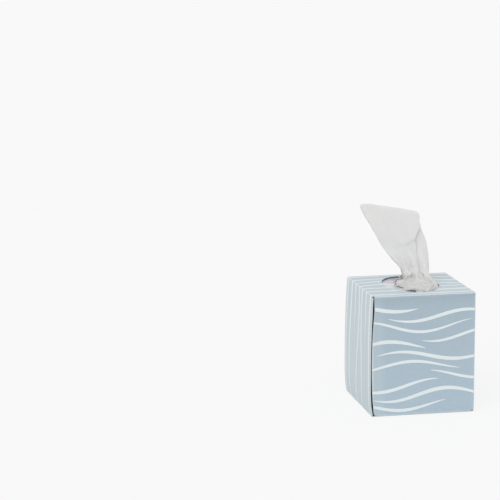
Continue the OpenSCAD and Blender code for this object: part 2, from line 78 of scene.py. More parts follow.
# Softening of the folded carton. The top bulges within CROWN_END of its level. The end flaps curl
# out at their sides, less on the right and at mid height, and buckle slowly between them
CROWN_RISE = 0.8 * MM
CROWN_FULL = 2 * MM
CROWN_END = 11 * MM
FLAP_SKIN = 0.05 * MM
CURL_OUT = 0.8 * MM
CURL_REACH = 9 * MM
CURL_EDGE = 0.5 * MM
CURL_START = 3 * MM
CURL_FULL = 20 * MM
RIGHT_CURL = 0.5
MIDDLE_HOLD = 0.35
MIDDLE_REACH = 22 * MM
BUCKLE = 0.22 * MM
BUCKLE_X = 31 * MM
BUCKLE_Z = 27 * MM
BUCKLE_PHASE_X = 1.3
BUCKLE_PHASE_Z = 0.6


def soften(points):
    """Moves points of the carton as its board bulges and curls. Works on an array of points."""
    x, y, z = points.T.copy()
    across = np.clip(1 - (x / HALF_W) ** 2, 0, 1)
    along = np.clip(1 - (y / HALF_D) ** 2, 0, 1)
    near_top = ramp(z, BOX_H - CROWN_END, BOX_H - CROWN_FULL)
    dz = CROWN_RISE * across * along * near_top
    on_flap = np.abs(y) > HALF_D - BOARD_T - FLAP_SKIN
    outer_flap = on_flap * ramp(BOX_H - z, CURL_START, CURL_FULL)
    side = ramp(np.abs(x), HALF_W - CURL_REACH, HALF_W - CURL_EDGE) * np.where(x < 0, 1, RIGHT_CURL)
    middle = 1 - MIDDLE_HOLD * np.exp(-(((z - 0.5 * BOX_H) / MIDDLE_REACH) ** 2))
    wave_x = np.sin(x / BUCKLE_X + BUCKLE_PHASE_X * np.sign(y))
    wave = wave_x * np.sin(z / BUCKLE_Z + BUCKLE_PHASE_Z)
    dy = np.sign(y) * outer_flap * (CURL_OUT * side * middle + BUCKLE * (1 + wave) * across)
    return np.stack([x, y + dy, z + dz], 1)


# Mesh helpers

WELD = 1e-7
SLIVER = 1.5e-5
CUT_STEP = 6 * MM
FINE_STEP_X = 1 * MM
FINE_STEP_Z = 2 * MM
TOP_PLAY = 1 * MM


def to_array(mesh):
    points = np.empty(len(mesh.vertices) * 3)
    mesh.vertices.foreach_get("co", points)
    return points.reshape(-1, 3)


def soften_mesh(mesh):
    mesh.vertices.foreach_set("co", soften(to_array(mesh)).ravel())


def link(name, mesh):
    piece = bpy.data.objects.new(name, mesh)
    scene.collection.objects.link(piece)
    return piece


def shade_smooth(mesh, sharp_degrees):
    mesh.polygons.foreach_set("use_smooth", [True] * len(mesh.polygons))
    mesh.set_sharp_from_angle(angle=math.radians(sharp_degrees))


def set_attribute(mesh, name, values):
    layer = mesh.attributes.new(name, "FLOAT", "POINT")
    layer.data.foreach_set("value", np.asarray(values, np.float32))


def cuts(low, high, step, fine=()):
    """Places every step from low to high, and closer ones in the fine ranges [from, to, step]."""
    places = set(np.round(np.arange(low + step / 2, high, step), 6))
    for start, end, small in fine:
        places |= set(np.round(np.arange(start, end, small), 6))
    return sorted(places)


def sliced(bm, axis, places):
    """Cuts the mesh by planes across an axis, without parting it."""
    normal = Vector((axis == 0, axis == 1, axis == 2))
    for place in places:
        everything = bm.verts[:] + bm.edges[:] + bm.faces[:]
        bmesh.ops.bisect_plane(
            bm, geom=everything, dist=WELD, plane_co=normal * place, plane_no=normal)


def soft_copy(node, name, lift=0.0):
    """A copy of a node's mesh, cut into small faces and softened. lift moves it off the board."""
    bm = bmesh.new()
    bm.from_mesh(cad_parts[node].data)
    bmesh.ops.remove_doubles(bm, verts=bm.verts, dist=WELD)
    curl_x = HALF_W - CURL_REACH
    fine_x = [(curl_x, HALF_W, FINE_STEP_X), (-HALF_W, -curl_x, FINE_STEP_X)]
    fine_z = [(BOX_H - CURL_FULL, BOX_H - CURL_START, FINE_STEP_Z)]
    sliced(bm, 0, cuts(-HALF_W, HALF_W, CUT_STEP, fine_x))
    sliced(bm, 1, cuts(-HALF_D, HALF_D, CUT_STEP))
    sliced(bm, 2, cuts(0, BOX_H, CUT_STEP, fine_z))
    bmesh.ops.remove_doubles(bm, verts=bm.verts, dist=SLIVER)
    mesh = bpy.data.meshes.new(name)
    bm.to_mesh(mesh)
    bm.free()
    points = soften(to_array(mesh))
    if lift:
        points += lift * np.sign(points) * (np.abs(points) > [HALF_W, HALF_D, BOX_H - TOP_PLAY])
    mesh.vertices.foreach_set("co", points.ravel())
    mesh.update()
    shade_smooth(mesh, sharp_degrees=32)
    piece = link(name, mesh)
    evened = piece.modifiers.new("even_shading", "WEIGHTED_NORMAL")
    evened.keep_sharp = True
    return piece


def grid_mesh(name, rows, closed_across=False, closed_along=False):
    """A mesh through an array of points, rows by columns."""
    m, n = rows.shape[:2]
    index = np.arange(m * n).reshape(m, n)
    right = np.roll(index, -1, 1) if closed_across else index[:, 1:]
    left = index if closed_across else index[:, :-1]
    if closed_along:
        low_l, low_r = left, right
        high_l, high_r = np.roll(left, -1, 0), np.roll(right, -1, 0)
    else:
        low_l, low_r, high_l, high_r = left[:-1], right[:-1], left[1:], right[1:]
    quads = np.stack([low_l, low_r, high_r, high_l], -1).reshape(-1, 4)
    mesh = bpy.data.meshes.new(name)
    mesh.from_pydata(rows.reshape(-1, 3).tolist(), [], quads.tolist())
    return mesh


def closed(mesh):
    """Fills the open ends of a mesh and points its faces outwards."""
    bm = bmesh.new()
    bm.from_mesh(mesh)
    bmesh.ops.holes_fill(bm, edges=[e for e in bm.edges if e.is_boundary], sides=0)
    bmesh.ops.recalc_face_normals(bm, faces=bm.faces)
    bm.to_mesh(mesh)
    bm.free()


# Material helpers

NOISE_ROUGHNESS = 0.55


class Look:
    """A node material with one Principled shader, and short calls to add what drives it."""

    def __init__(self, name, color, roughness, **values):
        self.material = bpy.data.materials.new(name)
        self.material.use_nodes = True
        self.nodes = self.material.node_tree.nodes
        self.links = self.material.node_tree.links
        self.shader = self.nodes["Principled BSDF"]
        self.shader.inputs["Base Color"].default_value = (*color, 1)
        self.shader.inputs["Roughness"].default_value = roughness
        for key, value in values.items():
            self.shader.inputs[key.replace("_", " ")].default_value = value
        self.places = self.nodes.new("ShaderNodeTexCoord").outputs["Object"]

    def add(self, kind, inputs=(), **settings):
        node = self.nodes.new("ShaderNode" + kind)
        for key, value in settings.items():
            setattr(node, key, value)
        for key, value in dict(inputs).items():
            if isinstance(value, bpy.types.NodeSocket):
                self.links.new(value, node.inputs[key])
            else:
                node.inputs[key].default_value = value
        return node

    def noise(self, scale, detail, stretch=(1, 1, 1)):
        """Noise with scale features to the metre, drawn out by stretch."""
        placed = self.add("Mapping", {"Vector": self.places, "Scale": stretch})
        inputs = {"Vector": placed.outputs[0], "Scale": scale, "Detail": detail}
        return self.add("TexNoise", {**inputs, "Roughness": NOISE_ROUGHNESS}).outputs["Fac"]

    def between(self, factor, low, high, from_low=0.3, from_high=0.7):
        """factor, stretched from one range to another."""
        inputs = {"Value": factor, "From Min": from_low, "From Max": from_high}
        return self.add("MapRange", {**inputs, "To Min": low, "To Max": high}).outputs[0]

    def mixed(self, factor, first, second):
        """Two colours mixed. Each input is a socket, or else a number or an (r, g, b) colour."""
        node = self.add("Mix", data_type="RGBA")
        for key, value in ((0, factor), (6, first), (7, second)):
            if isinstance(value, bpy.types.NodeSocket):
                self.links.new(value, node.inputs[key])
            elif key:
                node.inputs[key].default_value = (*value, 1)
            else:
                node.inputs[key].default_value = value
        return node.outputs[2]

    def attribute(self, name):
        return self.add("Attribute", attribute_name=name).outputs["Fac"]

    def drive(self, socket, value):
        self.links.new(value, self.shader.inputs[socket])

    def bump(self, height, strength, distance, normal=None):
        """A normal from a height, with distance in metres, on top of another normal if given."""
        inputs = {"Height": height, "Strength": strength, "Distance": distance}
        if normal:
            inputs["Normal"] = normal
        return self.add("Bump", inputs).outputs[0]


# Materials

PRINT_BLUE = (0.47, 0.58, 0.66)
DEEP_BLUE = (0.415, 0.525, 0.61)
# Painted light: the walls and the top take this paler blue, as if lit more than the end flaps
SIDE_LIT_BLUE = (0.57, 0.66, 0.70)
PRINT_WHITE = (0.78, 0.84, 0.86)
DEEP_WHITE = (0.82, 0.89, 0.905)
# Painted shade: the slot between the left wall and the outer flap is painted this near black
SLOT_PAINTED_SHADE = (0.012, 0.017, 0.02)
PAPER_WHITE = (0.84, 0.85, 0.84)
BOARD_GREY = (0.30, 0.275, 0.25)
BOARD_GREY_FIBRE = (0.38, 0.35, 0.32)
BOARD_CORE = (0.47, 0.45, 0.42)
BOARD_CORE_FIBRE = (0.58, 0.56, 0.53)
BOARD_SPECK = (0.12, 0.11, 0.10)
FILM_TINT = (0.85, 0.85, 0.90)
FILM_DARK = (0.82, 0.82, 0.88)
FILM_PALE = (0.88, 0.88, 0.92)
GLUE_TINT = (0.72, 0.66, 0.48)
GLUE_DARK = (0.68, 0.61, 0.42)
GLUE_PALE = (0.78, 0.73, 0.57)
TISSUE_TINT = (0.93, 0.93, 0.92)
TISSUE_DARK = (0.925, 0.925, 0.915)
TISSUE_PALE = (0.955, 0.955, 0.95)
# Painted shade: the tissue darkens to this in its gathers and on the back layer's strip
TISSUE_PAINTED_SHADE = (0.765, 0.765, 0.755)
TISSUE_THROUGH = (0.95, 0.95, 0.94, 1)
FLECK_SHADE = 1.14
# Painted shade: the share of the deep ink that the end flaps darken to under their top crease
CREASE_SHADE = 0.68


def board_relief(look):
    """Fine fibre and a slow unevenness, as coated paperboard has."""
    fibre = look.noise(1500, detail=4, stretch=(1, 1, 0.55))
    slow = look.noise(60, detail=2)
    uneven = look.bump(slow, strength=0.35, distance=0.0009)
    return look.bump(fibre, strength=0.12, distance=0.00012, normal=uneven)


def printed(name, color, deep):
    """Printed board: ink that varies, pale flecks, worn folds, and the painted light and shade that
    the attributes carry.
    """
    look = Look(name, color, roughness=0.44, IOR=1.47)
    ink = look.mixed(look.between(look.noise(420, detail=5), 0, 0.75), color, deep)
    cloud = look.mixed(look.between(look.noise(24, detail=2), 0, 0.35), ink, deep)
    flecks = look.between(look.noise(2600, detail=2), 0, 0.5, from_low=0.66, from_high=0.74)
    speckled = look.mixed(flecks, cloud, tuple(min(1, c * FLECK_SHADE) for c in color))
    wear = {0: look.attribute("fold"), 1: look.between(look.noise(900, detail=4), 0, 0.8)}
    cracks = look.add("Math", wear, operation="MULTIPLY").outputs[0]
    # Painted light: the walls and the top are painted paler than the end flaps, and the flaps' left
    # strip too
    side_lit = look.mixed(look.attribute("pale"), speckled, SIDE_LIT_BLUE)
    # Painted shade: the end flaps are darker under their top crease and towards their top
    shaded = look.mixed(look.attribute("flap_shade"), side_lit, tuple(CREASE_SHADE * c for c in deep))
    worn = look.mixed(cracks, shaded, PAPER_WHITE)
    # Painted shade: the slot beside the left wall is painted near black
    look.drive("Base Color", look.mixed(look.attribute("slot"), worn, SLOT_PAINTED_SHADE))
    look.drive("Roughness", look.between(look.noise(300, detail=4), 0.36, 0.54))
    look.drive("Normal", board_relief(look))
    return look.material


def bare_board(name, color, fibre_color):
    look = Look(name, color, roughness=0.85)
    fibres = look.between(look.noise(1300, detail=5, stretch=(1, 0.4, 1)), 0, 1)
    base = look.mixed(fibres, color, fibre_color)
    specks = look.between(look.noise(2100, detail=2), 0, 0.7, from_low=0.68, from_high=0.75)
    look.drive("Base Color", look.mixed(specks, base, BOARD_SPECK))
    look.drive("Roughness", look.between(fibres, 0.78, 0.95, from_low=0, from_high=1))
    relief = look.noise(1500, detail=5, stretch=(1, 0.5, 1))
    look.drive("Normal", look.bump(relief, strength=0.35, distance=0.0002))
    return look.material


def film_material():
    look = Look("film", FILM_TINT, roughness=0.2, IOR=1.5, Alpha=0.84)
    haze = look.between(look.noise(90, detail=3), 0, 1)
    look.drive("Base Color", look.mixed(haze, FILM_DARK, FILM_PALE))
    look.drive("Roughness", look.between(look.noise(240, detail=3), 0.10, 0.28))
    waves = look.noise(85, detail=3, stretch=(1, 0.35, 1))
    look.drive("Normal", look.bump(waves, strength=0.5, distance=0.0007))
    return look.material


def glue_material():
    look = Look("glue", GLUE_TINT, roughness=0.35)
    cloud = look.between(look.noise(500, detail=4), 0, 1)
    look.drive("Base Color", look.mixed(cloud, GLUE_DARK, GLUE_PALE))
    look.drive("Normal", look.bump(look.noise(700, detail=3), strength=0.4, distance=0.0003))
    return look.material


def tissue_material(name, seen_through):
    """Soft creped paper: fibre cloud, fine crepe lines across the sheet, and light through it."""
    look = Look(name, TISSUE_TINT, roughness=0.95, Specular_IOR_Level=0.2, Sheen_Weight=0.15)
    cloud = look.between(look.noise(520, detail=5), 0, 1)
    paper = look.mixed(cloud, TISSUE_DARK, TISSUE_PALE)
    # Painted shade: darker in the gathers near the slit and on the back layer's strip
    look.drive("Base Color", look.mixed(look.attribute("depth"), paper, TISSUE_PAINTED_SHADE))
    crepe = look.noise(1500, detail=3, stretch=(0.5, 0.5, 1.8))
    fibre = look.noise(3200, detail=4)
    lines = look.bump(crepe, strength=0.4, distance=0.00022)
    relief = look.bump(fibre, strength=0.25, distance=0.00015, normal=lines)
    look.drive("Normal", relief)
    if seen_through:
        through = look.add("BsdfTranslucent", {"Color": TISSUE_THROUGH, "Normal": relief})
        shaders = {0: seen_through, 1: look.shader.outputs[0], 2: through.outputs[0]}
        both = look.add("MixShader", shaders)
        look.links.new(both.outputs[0], look.nodes["Material Output"].inputs["Surface"])
    return look.material


# The carton's board: its kinds of face, a ray's start under a face, the depth from which a face is
# a cut edge, and how alike the normals are of two faces that meet in a smooth fold

PRINTED_SIDE = 0
BARE_SIDE = 1
CUT_EDGE = 2
RAY_START = 2e-6
CUT_DEPTH = 1.4 * BOARD_T
SMOOTH_DOT = 0.6


def board_faces(mesh):
    """The kind of each face. The printed side is what can be reached from the top panel without
    crossing a cut edge."""
    bm = bmesh.new()
    bm.from_mesh(mesh)
    tree = BVHTree.FromBMesh(bm)
    is_cut = []
    for face in bm.faces:
        inward = -face.normal
        hit = tree.ray_cast(face.calc_center_median() + inward * RAY_START, inward)
        is_cut.append(hit[0] is None or hit[3] > CUT_DEPTH)
    bm.faces.ensure_lookup_table()
    start = max(bm.faces, key=lambda face: face.calc_center_median().z + face.normal.z)
    reached, front = {start.index}, [start]
    while front:
        face = front.pop()
        for edge in face.edges:
            for other in edge.link_faces:
                smooth = face.normal.dot(other.normal) > SMOOTH_DOT
                if other.index not in reached and (smooth or not is_cut[other.index]):
                    reached.add(other.index)
                    front.append(other)
    bm.free()
    return [PRINTED_SIDE if i in reached else CUT_EDGE if cut else BARE_SIDE
            for i, cut in enumerate(is_cut)]


WEAR_RIDGE = 0.3 * MM
WEAR_END = 1.6 * MM


def fold_wear(points):
    """1 on a fold's ridge, falling to 0 beside it."""
    x, y, z = np.abs(points.T)
    short = np.sort(np.stack([HALF_W - x, HALF_D - y, np.minimum(z, BOX_H - z)]), 0)[1]
    return 1 - ramp(short, WEAR_RIDGE, WEAR_END)


# Painted shade on the end flaps: a darker band under the top crease, and a darkening towards their
# top
FLAP_SHADE_SKIN = 0.2 * MM
FLAP_SHADE_TOP = 0.8 * MM
FLAP_SHADE_START = 1.5 * MM
CREASE_PAINTED_SHADE = 0.27
CREASE_FADE = 7 * MM
FLAP_PAINTED_SHADE = 0.2
FLAP_FADE = 105 * MM


def painted_flap_shade(points):
    """Painted shade on the end flaps: deepest just under the top crease, and fading downwards."""
    _, y, z = points.T
    on_flap = (np.abs(y) > HALF_D - FLAP_SHADE_SKIN) & (z < BOX_H - FLAP_SHADE_TOP)
    down = BOX_H - FLAP_SHADE_START - z
    near = CREASE_PAINTED_SHADE * np.exp(-down / CREASE_FADE)
    return on_flap * (near + FLAP_PAINTED_SHADE * np.clip(1 - down / FLAP_FADE, 0, 1))


# Painted light: the walls, the top and the end flaps' left strip are painted paler
PALE_SKIN = 0.9 * MM
TOP_SKIN = 0.6 * MM
STRIP_FULL = 7 * MM
STRIP_END = 15 * MM
STRIP_PAINTED_LIGHT = 0.4
TOP_PAINTED_LIGHT = 0.58


def painted_side_light(points):
    """Painted light: the walls and the top are painted paler than the end flaps, whose left strip is
    painted paler too.
    """
    x, y, z = points.T
    on_flap = np.abs(y) > HALF_D - PALE_SKIN
    strip = STRIP_PAINTED_LIGHT * (1 - ramp(x, STRIP_FULL - HALF_W, STRIP_END - HALF_W))
    on_top = z > BOX_H - TOP_SKIN
    return np.where(on_flap & ~on_top, strip, np.where(on_top, TOP_PAINTED_LIGHT, 1))


# Painted shade in the slot between the left wall's nose and the outer flap's edge: where the wall
# is measured, the slot's limits from the wall and in from the front, and its ends below and above
WALL_IN = 15 * MM
SLOT_FROM_WALL = 0.5 * MM, 12 * MM
SLOT_INWARD = 0.4 * MM, 9 * MM
SLOT_FOOT = 2 * MM
SLOT_HEAD = 1.5 * MM, 7 * MM
LEVEL_DIGITS = 5


def painted_slot_shade(points):
    """1 inside the slot between the left wall's nose and the outer flap's edge, where shade is
    painted near black, falling to 0 under the top crease."""
    x, y, z = points.T
    wall = np.abs(y) < HALF_D - WALL_IN
    levels = np.round(z, LEVEL_DIGITS)
    heights = np.unique(levels[wall & (x < 0)])
    faces = [x[wall & (levels == height)].min() for height in heights]
    from_wall = x - np.interp(z, heights, faces)
    inward = HALF_D - np.abs(y)
    beside = (from_wall > SLOT_FROM_WALL[0]) & (from_wall < SLOT_FROM_WALL[1])
    inside = beside & (inward > SLOT_INWARD[0]) & (inward < SLOT_INWARD[1])
    return inside * (z > SLOT_FOOT) * ramp(BOX_H - z, *SLOT_HEAD)


def make_board():
    board = soft_copy("carton", "folded_board")
    mesh = board.data
    points = to_array(mesh)
    set_attribute(mesh, "fold", fold_wear(points))
    # Painted shade under the end flaps' top crease, fading downwards
    set_attribute(mesh, "flap_shade", painted_flap_shade(points))
    # Painted light on the walls, the top and the end flaps' left strip
    set_attribute(mesh, "pale", painted_side_light(points))
    # Painted shade in the slot beside the left wall
    set_attribute(mesh, "slot", painted_slot_shade(points))
    mesh.materials.append(printed("printed_board", PRINT_BLUE, DEEP_BLUE))
    mesh.materials.append(bare_board("bare_board", BOARD_GREY, BOARD_GREY_FIBRE))
    mesh.materials.append(bare_board("board_core", BOARD_CORE, BOARD_CORE_FIBRE))
    mesh.polygons.foreach_set("material_index", board_faces(mesh))
    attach(board, "root")
    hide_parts("carton")


INK_LIFT = 0.02 * MM
INK_WEAR = 0.6
INK_TOP_PAINTED_SHADE = 0.3


def make_print():
    ink = soft_copy("wave_print", "wave_ink", lift=INK_LIFT)
    mesh = ink.data
    points = to_array(mesh)
    set_attribute(mesh, "fold", INK_WEAR * fold_wear(points))
    # Painted shade: the white ink on the top is dulled towards the side blue
    set_attribute(mesh, "pale", INK_TOP_PAINTED_SHADE * (points[:, 2] > BOX_H - TOP_SKIN))
    mesh.materials.append(printed("white_ink", PRINT_WHITE, DEEP_WHITE))
    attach(ink, "root")
    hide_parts("wave_print")


# The slit film and its glue. The film's sizes come first, then how square its outlines are, the
# dip's curve, and the ripples and lips

FILM_T = 0.1 * MM
FILM_DIP = film_high.z - film_low.z - FILM_T
RIM_IN = 3.5 * MM
RIM_HALF_W = film_high.x - RIM_IN
RIM_HALF_L = film_high.y - RIM_IN
SLIT_END_GAP = 18 * MM
SLIT_HALF_L = film_high.y - SLIT_END_GAP
SLIT_HALF_W = 2.5 * MM
SLIT_STRAIGHT = SLIT_HALF_L - SLIT_HALF_W
FILM_TURNS = 240
FILM_DEPTHS = 30
SLIT_SQUARE_X = 0.35
SLIT_SQUARE_Y = 0.8
OUTER_SQUARE = 0.5
DIP_CURVE = 0.6
RIPPLE = 0.28 * MM
RIPPLE_WAVES = 9
RIPPLE_PHASE = 1.1
SIDE_RIPPLE = 0.4
LIP = 0.25 * MM
LIP_WAVES = 5
LIP_PHASE = 0.4
LIP_FADE = 3


def signed_power(value, power):
    return np.sign(value) * np.abs(value) ** power


def make_film():
    """From the slit's lips through the dip to the rim, with ripples that start at the slit's ends."""
    a = np.linspace(0, 2 * math.pi, FILM_TURNS, endpoint=False)[:, None]
    f = np.linspace(0, 1, FILM_DEPTHS)[None, :]
    cos, sin = np.cos(a), np.sin(a)
    slit_x = SLIT_HALF_W * signed_power(cos, SLIT_SQUARE_X)
    slit_y = SLIT_STRAIGHT * signed_power(sin, SLIT_SQUARE_Y) + SLIT_HALF_W * sin
    x = slit_x * (1 - f) + RIM_HALF_W * cos * f
    y = slit_y * (1 - f) + RIM_HALF_L * sin * f
    near_ends = SIDE_RIPPLE + (1 - SIDE_RIPPLE) * sin ** 2
    ripple = RIPPLE * np.sin(RIPPLE_WAVES * a + RIPPLE_PHASE) * np.sin(math.pi * f) * near_ends
    lip = LIP * (1 - f) ** LIP_FADE * (np.sin(LIP_WAVES * a + LIP_PHASE) - 1)
    z = film_high.z - FILM_DIP * (1 - f) ** DIP_CURVE + np.minimum(ripple, 0) + lip
    outer = np.stack([film_high.x * signed_power(cos, OUTER_SQUARE),
                      film_high.y * signed_power(sin, OUTER_SQUARE),
                      np.full_like(a, film_high.z)], -1)
    top = np.concatenate([np.stack([x, y, z], -1), outer], 1)
    low = top[:, ::-1] - [0, 0, FILM_T]
    rows = np.concatenate([top, low], 1)
    mesh = grid_mesh("slit_film", rows, closed_across=True, closed_along=True)
    soften_mesh(mesh)
    closed(mesh)
    shade_smooth(mesh, sharp_degrees=60)
    film = link("slit_film", mesh)
    mesh.materials.append(film_material())
    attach(film, "root")
    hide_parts("opening_film")


def finish_glue():
    glue = glue_material()
    ring = soft_copy("film_glue", "film_glue_ring")
    ring.data.materials.append(glue)
    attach(ring, "root")
    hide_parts("film_glue")
    for name in ("seam_glue", "flap_glue"):
        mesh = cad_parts[name].data
        mesh.materials.clear()
        mesh.materials.append(glue)


# The clip of folded tissues. SLOT_HALF is half the gap between its legs. Each sheet's edge lies up
# to SHEET_SHIFT_MM in, is rounded over a share of its thickness, and has a groove beside it

SLOT_HALF = 5 * MM
SHEETS = 46
SHEET_SEED = 11
SHEET_SHIFT_MM = 0.45
SHEET_ROUND = 0.25
GROOVE = 0.35 * MM
OUTER_INSET = 0.3 * MM
OUTER_SKIN = 0.1 * MM
SETTLE = 0.25 * MM
SETTLE_WAVE = 9 * MM
SETTLE_PHASE = 4
LEG_STEPS = 15
BEND_STEPS = 40
TOP_STEPS = 24
SLOT_STRIDE = 4


def make_clip():
    """An arch over two legs. Its cut faces show every folded tissue, each a little in or out."""
    draw = np.random.default_rng(SHEET_SEED)
    half_d, half_w = clip_high.y, clip_high.x
    depth = half_d - SLOT_HALF
    bend_z = clip_high.z - half_d
    leg = np.linspace(clip_low.z, bend_z, LEG_STEPS + 1)[:-1]
    turn = np.linspace(0, math.pi, BEND_STEPS + 1)
    lines = [(-1.0, 0.0, z) for z in leg]
    lines += [(-math.cos(t), math.sin(t), bend_z) for t in turn]
    lines += [(1.0, 0.0, z) for z in leg[::-1]]
    lines = np.array(lines)
    radii, inset = [half_d], [OUTER_INSET]
    for k in range(SHEETS):
        high = half_d - depth * k / SHEETS
        low = half_d - depth * (k + 1) / SHEETS
        edge = SHEET_ROUND * (high - low)
        back = draw.uniform(0, SHEET_SHIFT_MM) * MM
        radii += [high - edge, low + edge, low]
        inset += [back, back, back + GROOVE]
    radii, inset = np.array(radii), np.array(inset)
    span = np.linspace(-1, 1, TOP_STEPS + 1)
    loop = [(half_d, x * (half_w - inset[0])) for x in span[:-1]]
    loop += [(r, half_w - i) for r, i in zip(radii, inset)]
    loop += [(SLOT_HALF, x * (half_w - inset[-1])) for x in span[::-SLOT_STRIDE][1:-1]]
    loop += [(r, -half_w + i) for r, i in zip(radii[::-1], inset[::-1])][:-1]
    loop = np.array(loop)
    r = loop[None, :, 0]
    x = np.broadcast_to(loop[None, :, 1], (len(lines), len(loop)))
    wave = 1 + np.sin(x / SETTLE_WAVE + SETTLE_PHASE * lines[:, :1])
    r = r - SETTLE * wave * (r > half_d - OUTER_SKIN)
    rows = np.stack([x, lines[:, :1] * r, lines[:, 2:] + lines[:, 1:2] * r], -1)
    mesh = grid_mesh("tissue_stack", rows, closed_across=True)
    closed(mesh)
    shade_smooth(mesh, sharp_degrees=40)
    clip = link("tissue_stack", mesh)
    mesh.materials.append(tissue_material("stacked_tissue", seen_through=0))
    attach(clip, "root")
    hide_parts("tissue_clip")


# The drawn tissue: three layers folded like a flattened S, gathered in the slit and leaning left.
# From here on lengths are in millimetres and angles in degrees. A row gives the layers' middle
# [x, y, z], then turn, lie, half width, layer gap, pleat, tilt and notch. The rows are the
# replaced solid's, fitted to the photograph once more, and differ from them by a few millimetres

H = BOX_H / MM
SHEET_W = 200
RISE = 83
LEAN = 22.6
STEM_SHIFT = 6.8
LAYER_GAP = 2.4
PLEAT = 5
FULL = SHEET_W / 6
GATHERED = 34
LIPS = H - 3.6
LYING = clip_high.z / MM + 1.55
LYING_GAP = 0.7
TURN_R = 1.0
FOLDED_BACK = LYING + 2 * TURN_R
CLIP_HALF_W = clip_high.x / MM
TURN_X = CLIP_HALF_W - TURN_R - 0.45
BY_SLIT = 4.5


def stand(x_share, z_share):
    """The layers' middle above the carton: from the stem, right of the slit, to the upper edge."""
    return [STEM_SHIFT - (STEM_SHIFT + LEAN) * x_share, 0, H + z_share * RISE]


TISSUE_ROWS = np.array([
    [0.4 * CLIP_HALF_W, 0, FOLDED_BACK, 90, 270, FULL, LYING_GAP, 0.1, 0, 0],
    [0.7 * CLIP_HALF_W, 0, FOLDED_BACK, 90, 270, FULL, LYING_GAP, 0.1, 0, 0],
    [TURN_X, 0, FOLDED_BACK, 90, 270, FULL, LYING_GAP, 0.1, 0, 0],
    [TURN_X + TURN_R, 0, LYING + TURN_R, 90, 180, FULL, LYING_GAP - 0.2, 0.05, 0, 0],
    [TURN_X, 0, LYING, 90, 90, FULL, LYING_GAP, 0.1, 0, 0],
    [0.68 * CLIP_HALF_W, 0, LYING, 90, 90, FULL, LYING_GAP, 0.1, 0, 0],
    [0.34 * CLIP_HALF_W, 0, LYING, 90, 90, FULL, LYING_GAP, 0.1, 0, 0],
    [BY_SLIT, 0, LYING, 90, 88, FULL, LYING_GAP, 0.1, 0, 0],
    [0.4, 0, LIPS - 0.4, 90, 18, GATHERED, 0.8, 0.9, 0, 0],
    [0, 0, LIPS + 0.8, 90, 0, GATHERED, 1, 1.0, 0, 0],
    [1.5, -5, H + 1, 78, 0, 0.93 * GATHERED, 0.92 * LAYER_GAP, 0.7 * PLEAT, 0, 1],
    [6, -5, H + 4.5, 52, 0, 0.73 * FULL, LAYER_GAP, 0.7 * PLEAT, 0, 3],
    [4.2, -4, H + 9.5, 26, 0, 0.45 * FULL, 0.8 * LAYER_GAP, 0.5 * PLEAT, 0, 7],
    [*stand(0.07, 0.195), 8, 0, 0.465 * FULL, 0.5 * LAYER_GAP, 0.3 * PLEAT, 0, 12],
    [*stand(0.24, 0.34), 0, 0, 0.61 * FULL, 0.22 * LAYER_GAP, 0.18 * PLEAT, 0, 13.5],
    [*stand(0.42, 0.48), 0, 0, 0.72 * FULL, 0.3 * LAYER_GAP, 0.12 * PLEAT, -0.02, 12.5],
    [*stand(0.565, 0.61), 0, 0, 0.79 * FULL, 0.5 * LAYER_GAP, 0.08 * PLEAT, -0.06, 11.3],
    [*stand(0.79, 0.78), 0, 0, 0.85 * FULL, 0.5 * LAYER_GAP, 0.06 * PLEAT, -0.12, 2],
    [*stand(0.93, 0.89), 0, 0, 0.9 * FULL, 0.45 * LAYER_GAP, 0.05 * PLEAT, -0.16, 1],
    [*stand(1, 1), 0, 0, 0.97 * FULL, 0.42 * LAYER_GAP, 0.04 * PLEAT, -0.195, 1],
])

# Where points are set along the rows: coarse where the sheet is hidden, fine from the slit's row
# to the stem's. Across the sheet a layer has LAYER_STEPS and a fold TURN_STEPS
RISING_ROW = 7
SLIT_ROW = 9
STEM_ROW = 12
LAST_ROW = len(TISSUE_ROWS) - 1
HIDDEN_STEPS = 6
BASE_STEPS = 30
ROW_STEPS = 10
END_PLAY = 0.01
ROW_PLACES = np.concatenate([
    np.arange(0, SLIT_ROW, 1 / HIDDEN_STEPS),
    np.arange(SLIT_ROW, STEM_ROW, 1 / BASE_STEPS),
    np.arange(STEM_ROW, LAST_ROW + END_PLAY, 1 / ROW_STEPS)])
LAYER_STEPS = 64
TURN_STEPS = 10
LAYER_PITCH = LAYER_STEPS + TURN_STEPS
SHEET_T = 0.2

# The pleats' main and minor wave: degrees over the half width and from row to row, how much the
# main one fades to the sides, and how high the minor one is beside it
MAIN_WAVE = 540, 16
MAIN_FADE = 0.45
MINOR_WAVE = 230, 40
MINOR_HEIGHT = 0.3

# How the upper edge droops: from layer to layer, and at its left and right corners
LAYER_DROOP = 6
LEFT_DROOP = 12
LEFT_DROOP_POWER = 9
RIGHT_DROOP = 20
RIGHT_DROOP_POWER = 14


def row_at(v):
    """The row at v, on a smooth curve through the rows."""
    k = min(int(v), LAST_ROW - 1)
    t = v - k
    a, b, c, d = (TISSUE_ROWS[i] for i in (max(k - 1, 0), k, k + 1, min(k + 2, LAST_ROW)))
    return b + 0.5 * t * (c - a + t * (2 * a - 5 * b + 4 * c - d + t * (3 * (b - c) + d - a)))


def s_curve(half, gap, notch):
    """Points along and across the S: the front layer, a turn, the middle, a turn and the back."""
    right, left = half - notch - gap / 2, -half + gap / 2
    run = np.linspace(0, 1, LAYER_STEPS + 1)
    angle = np.linspace(-math.pi / 2, math.pi / 2, TURN_STEPS + 1)[1:-1]
    level = np.ones_like(run)
    along = [-half + (right + half) * run, right + gap / 2 * np.cos(angle),
             right + (left - right) * run, left - gap / 2 * np.cos(angle),
             left + (half - left) * run]
    across = [-gap * level, -gap / 2 + gap / 2 * np.sin(angle), 0 * level,
              gap / 2 + gap / 2 * np.sin(angle), gap * level]
    return np.concatenate(along), np.concatenate(across)


